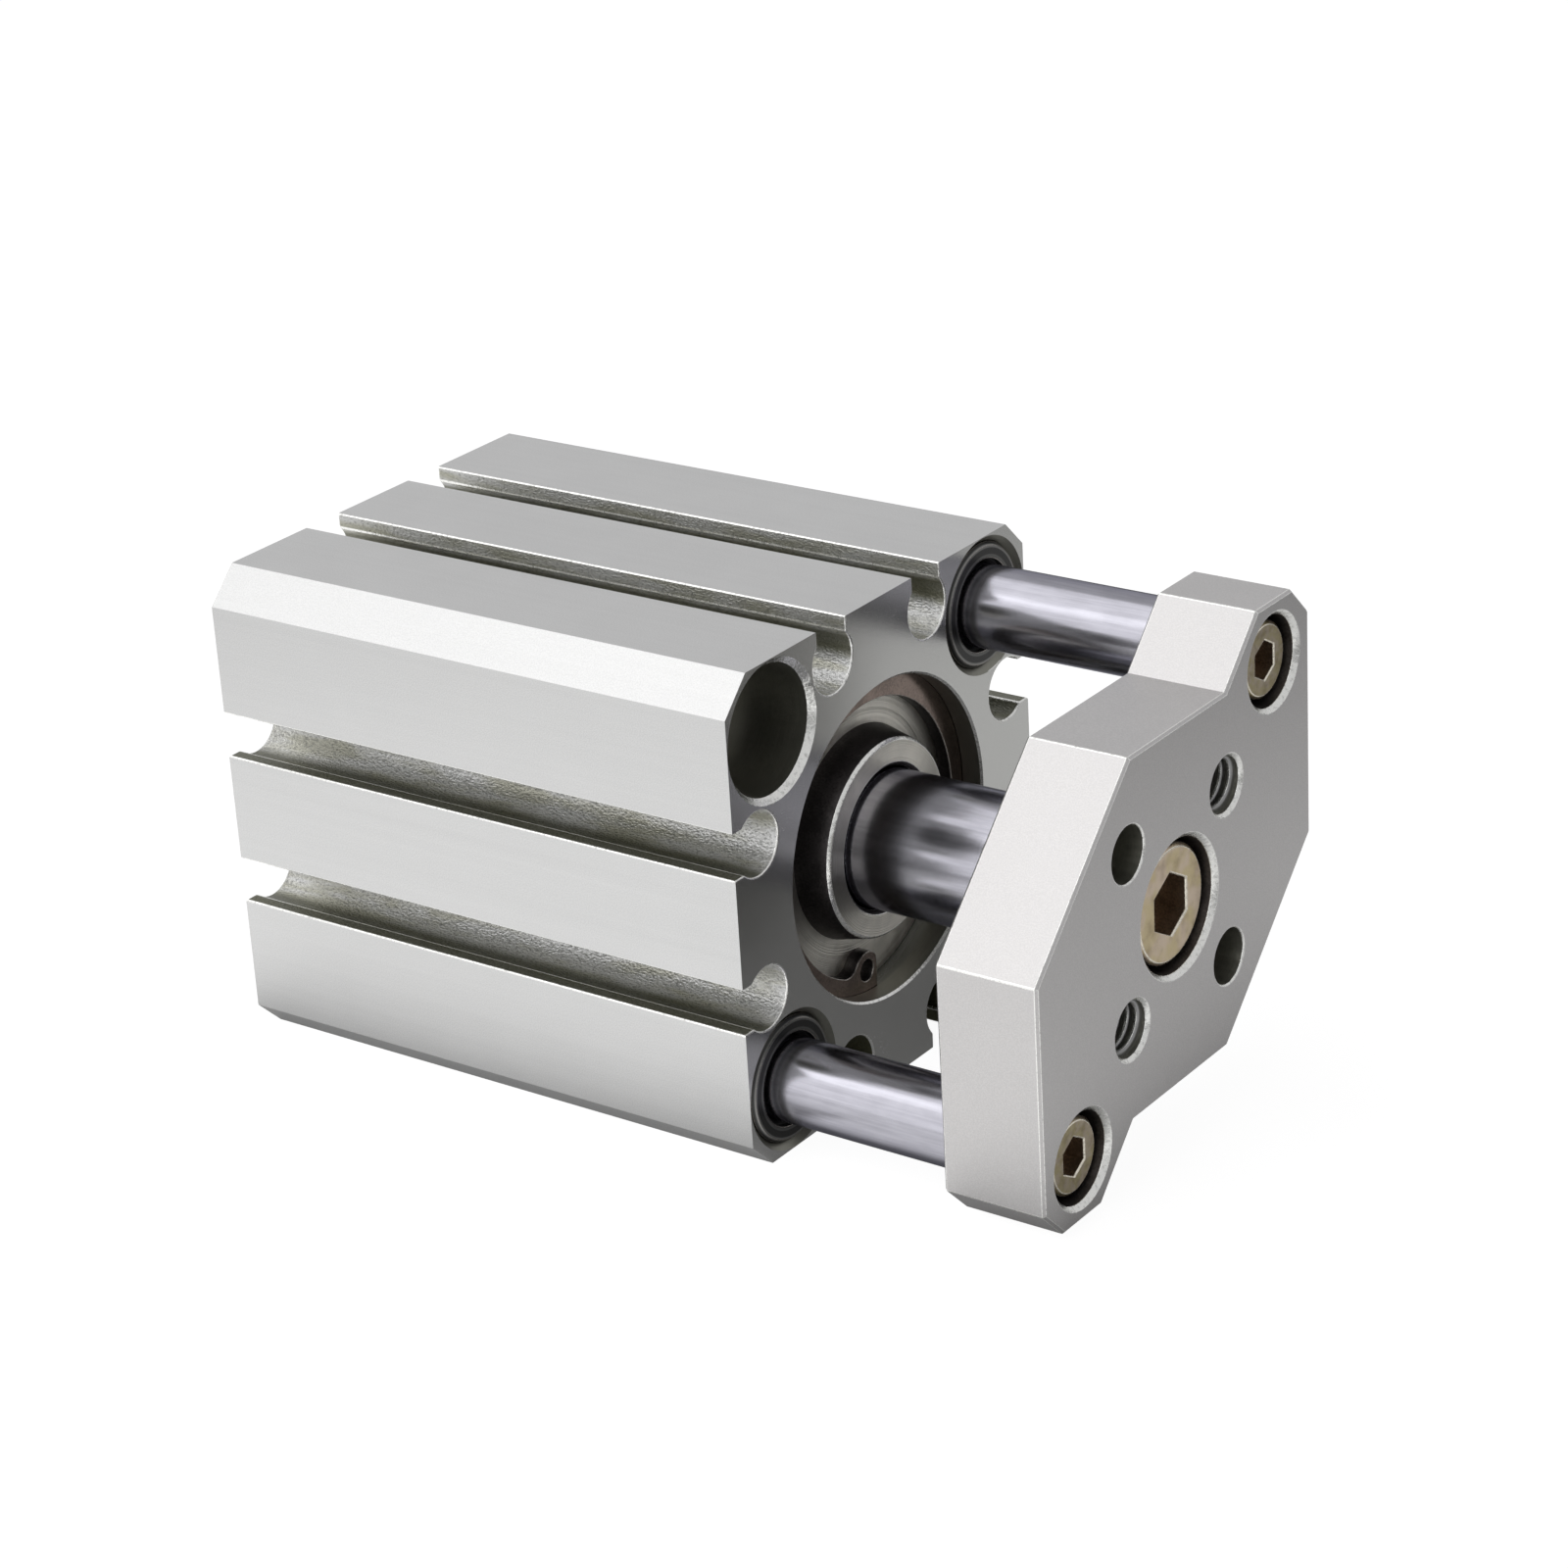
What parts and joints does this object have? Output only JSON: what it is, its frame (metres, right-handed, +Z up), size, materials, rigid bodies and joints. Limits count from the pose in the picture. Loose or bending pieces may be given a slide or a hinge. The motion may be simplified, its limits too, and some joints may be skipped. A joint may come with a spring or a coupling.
{
  "type": "guided pneumatic cylinder",
  "caption": "Compact guided pneumatic cylinder: square slotted body, piston rod and two diagonal guide rods that carry one slanted end plate.",
  "frame": {"origin": "on the cylinder axis, at the rear mounting face of the body, at the centre of the two mounting holes", "axes": "+X is the stroke direction, in which the rods stand out of the body. +Z is up. The air ports are on the +Y side, and the guide rods lie at +Y+Z and -Y-Z."},
  "size_m": [0.0682, 0.036, 0.036],
  "materials": {
    "anodised_aluminium": "extruded, bead blasted and clear anodised, satin",
    "anodised_plate": "milled, bead blasted and clear anodised, satin",
    "turned_aluminium": "turned and yellow passivated",
    "hard_chrome": "ground and hard chromed",
    "spring_steel": "phosphated spring steel, dark brown",
    "bearing_alloy": "sintered bearing alloy, grey brown",
    "seal_rubber": "black nitrile rubber",
    "bumper_rubber": "amber polyurethane",
    "magnet_compound": "bonded ferrite, matte",
    "plated_steel": "zinc plated and yellow passivated"
  },
  "bodies": {
    "body": {"cylinder_body": "anodised_aluminium", "bottom_plate": "turned_aluminium", "bottom_plate_o_ring": "seal_rubber", "collar": "turned_aluminium", "collar_o_ring": "seal_rubber", "rod_bush": "bearing_alloy", "rod_seal": "seal_rubber", "retaining_ring": "spring_steel", "guide_bush_front_upper": "bearing_alloy", "guide_bush_front_lower": "bearing_alloy", "guide_bush_rear_upper": "bearing_alloy", "guide_bush_rear_lower": "bearing_alloy", "wiper_upper": "seal_rubber", "wiper_lower": "seal_rubber"},
    "rod_unit": {"piston_rod": "hard_chrome", "piston": "turned_aluminium", "magnet_holder": "turned_aluminium", "magnet": "magnet_compound", "piston_seal": "seal_rubber", "piston_nut": "plated_steel", "bumper_rear": "bumper_rubber", "bumper_front": "bumper_rubber", "guide_rod_upper": "hard_chrome", "guide_rod_lower": "hard_chrome", "end_plate": "anodised_plate", "centre_screw": "plated_steel", "guide_screws": "plated_steel"}
  },
  "joints": [
    {"name": "stroke", "type": "slide", "parent": "body", "child": "rod_unit", "axis": [1, 0, 0], "range_m": [-0.0074, 0.0076]}
  ]
}
